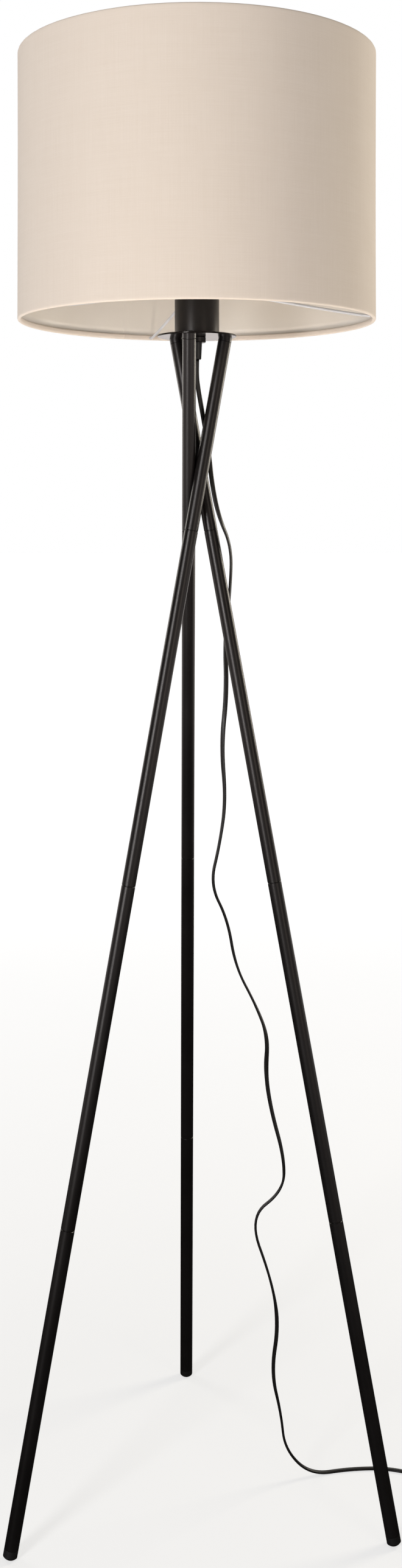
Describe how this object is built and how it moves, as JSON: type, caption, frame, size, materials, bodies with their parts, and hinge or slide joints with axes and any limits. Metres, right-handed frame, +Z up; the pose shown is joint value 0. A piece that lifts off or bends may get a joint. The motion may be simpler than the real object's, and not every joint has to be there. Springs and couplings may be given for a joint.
{
  "type": "tripod floor lamp",
  "caption": "Tripod floor lamp with slim crossing metal legs, a round top plate, a fabric drum shade, a screw lampholder and a flat cord with a foot switch and plug.",
  "frame": {"origin": "on the floor, under the middle axis of the shade, top plate and lampholder", "axes": "+Z up along the lamp's middle axis; -Y is the front, towards the viewer; +X is to the viewer's right, the side on which the cord leaves"},
  "size_m": [0.5224, 0.4281, 1.5228],
  "materials": {
    "black_metal": "satin black powder coat",
    "black_rubber": "matt black",
    "black_plastic": "fine matt black",
    "dark_resin": "moulded, slightly glossy black",
    "cord_sheath": "smooth, slightly shiny black sheath",
    "core_insulation": "smooth",
    "zinc_steel": "zinc plated",
    "nickel_plate": "bright nickel plate",
    "brass": "bare",
    "shade_cloth": "plain woven beige cotton",
    "shade_film": "matt white backing film",
    "white_wire": "white powder coat"
  },
  "bodies": {
    "stand": {"back_leg_bottom_tube": "black_metal", "back_leg_collar": "black_metal", "back_leg_foot": "black_rubber", "back_leg_lower_tube": "black_metal", "back_leg_top_tube": "black_metal", "back_leg_upper_tube": "black_metal", "cord_coil": "cord_sheath", "cord_end": "cord_sheath", "cord_hanging": "cord_sheath", "cord_sleeve": "black_plastic", "cord_tail": "cord_sheath", "core_wires": "core_insulation", "gland_nut": "black_metal", "inner_lead": "cord_sheath", "lampholder_body": "dark_resin", "lampholder_centre_contact": "brass", "lampholder_cup": "black_metal", "lampholder_terminal_screws": "zinc_steel", "lampholder_thread_shell": "nickel_plate", "left_leg_bottom_tube": "black_metal", "left_leg_collar": "black_metal", "left_leg_foot": "black_rubber", "left_leg_lower_tube": "black_metal", "left_leg_top_tube": "black_metal", "left_leg_upper_tube": "black_metal", "leg_screws": "black_metal", "leg_tube_connectors": "black_metal", "nipple_locknut": "zinc_steel", "nipple_washer": "zinc_steel", "plug_body": "black_plastic", "plug_pins": "nickel_plate", "right_leg_bottom_tube": "black_metal", "right_leg_collar": "black_metal", "right_leg_foot": "black_rubber", "right_leg_lower_tube": "black_metal", "right_leg_top_tube": "black_metal", "right_leg_upper_tube": "black_metal", "switch_base": "black_plastic", "switch_cover": "black_plastic", "switch_latch": "black_plastic", "switch_screws": "zinc_steel", "switch_spring": "zinc_steel", "threaded_nipple": "zinc_steel", "top_plate": "black_metal"},
    "shade": {"shade_fabric": "shade_cloth", "shade_lining": "shade_film", "shade_top_wire": "white_wire", "shade_bottom_wire": "white_wire", "shade_spider_arms": "white_wire", "shade_fitter_ring": "white_wire"},
    "clamp_ring": {"shade_clamp_ring": "black_plastic"},
    "switch_button": {"switch_button": "black_plastic"}
  },
  "joints": [
    {"name": "shade_turn", "type": "hinge", "parent": "stand", "child": "shade", "pos_m": [0, 0, 1.2731], "axis": [0, 0, 1], "continuous": true},
    {"name": "clamp_ring_unscrew", "type": "hinge", "parent": "stand", "child": "clamp_ring", "pos_m": [0, 0, 1.2778], "axis": [0, 0, 1], "range_deg": [0, 1080]},
    {"name": "foot_switch_press", "type": "slide", "parent": "stand", "child": "switch_button", "axis": [0, 0, -1], "range_m": [0, 0.002], "stiffness_N_per_m": 600, "springref_m": -0.002, "deforming": ["switch_spring"]}
  ]
}
